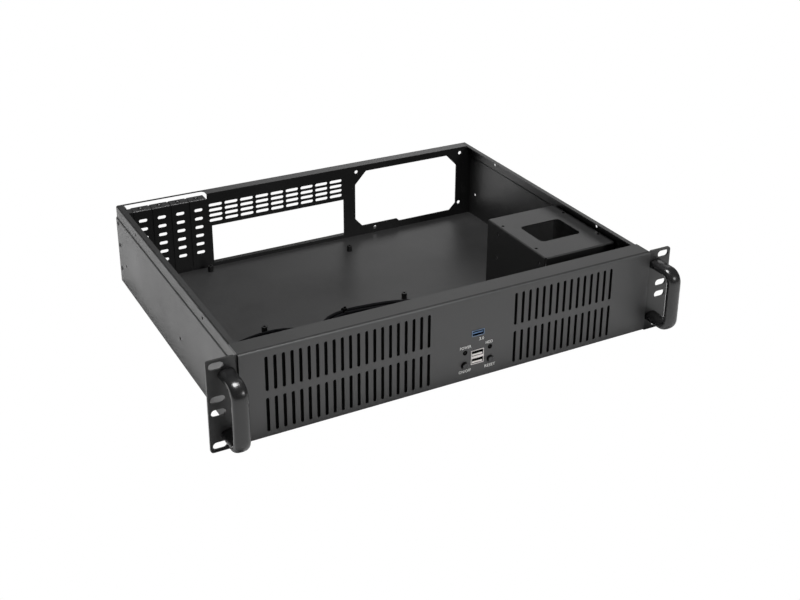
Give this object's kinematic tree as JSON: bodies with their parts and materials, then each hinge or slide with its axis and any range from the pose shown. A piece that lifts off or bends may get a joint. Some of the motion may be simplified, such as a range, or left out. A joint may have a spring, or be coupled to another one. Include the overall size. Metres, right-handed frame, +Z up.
{
  "type": "rackmount server case",
  "caption": "Low rack-width steel server case with its top cover off, slotted front bezel, bow handles, drive cage and loose front-panel leads.",
  "frame": {"origin": "centre of the flat underside of the tray", "axes": "+X to the right-hand side seen from the front, +Y to the rear, +Z up"},
  "size_m": [0.4826, 0.384, 0.0885],
  "materials": {
    "black_steel": "satin powder coat",
    "zinc_steel": "zinc plated",
    "black_rivet": "satin",
    "black_aluminium": "semi-gloss paint on cast aluminium",
    "blue_plastic": "smooth",
    "white_plastic": "smooth",
    "lamp_lens": "diffused",
    "button_plastic": "gloss",
    "black_plastic": "smooth",
    "green_board": "solder resist",
    "lead_jacket": "smooth jacket",
    "tie_plastic": "nylon",
    "filter_foam": "open dust filter mat"
  },
  "bodies": {
    "case": {"chassis_tray": "black_steel", "rear_panel": "black_steel", "supply_frame": "black_steel", "filter_mat_left": "filter_foam", "filter_mat_right": "filter_foam", "rear_top_flange": "black_steel", "rear_floor_flange": "black_steel", "rear_side_flange_left": "black_steel", "rear_side_flange_right": "black_steel", "card_ledge": "black_steel", "slot_cover_1": "black_steel", "slot_cover_2": "black_steel", "slot_cover_3": "black_steel", "slot_cover_4": "black_steel", "slot_cover_screws": "zinc_steel", "front_plate": "black_steel", "front_bezel": "black_steel", "bezel_studs": "zinc_steel", "bezel_nuts": "zinc_steel", "handle_left": "black_aluminium", "handle_right": "black_aluminium", "handle_screws": "zinc_steel", "drive_cage": "black_steel", "cage_screws": "zinc_steel", "board_standoffs": "zinc_steel", "wall_rivets": "black_rivet", "port_board": "green_board", "port_spacers": "zinc_steel", "port_screws": "zinc_steel", "usb3_shell": "blue_plastic", "usb3_tongue": "blue_plastic", "usb2_shell": "white_plastic", "usb2_tongues": "white_plastic", "power_lamp": "lamp_lens", "drive_lamp": "lamp_lens", "button_switches": "black_plastic", "board_sockets": "black_plastic", "panel_leads": "lead_jacket", "usb3_lead": "lead_jacket", "usb2_lead": "lead_jacket", "panel_leads_plug": "black_plastic", "usb3_lead_plug": "black_plastic", "usb2_lead_plug": "black_plastic", "lead_tie": "tie_plastic"},
    "power_button": {"power_button": "button_plastic"},
    "reset_button": {"reset_button": "button_plastic"}
  },
  "joints": [
    {"name": "power_press", "type": "slide", "parent": "case", "child": "power_button", "axis": [0, 1, 0], "range_m": [0, 0.001], "stiffness_N_per_m": 1000, "springref_m": -0.0005},
    {"name": "reset_press", "type": "slide", "parent": "case", "child": "reset_button", "axis": [0, 1, 0], "range_m": [0, 0.001], "stiffness_N_per_m": 1000, "springref_m": -0.0005}
  ]
}
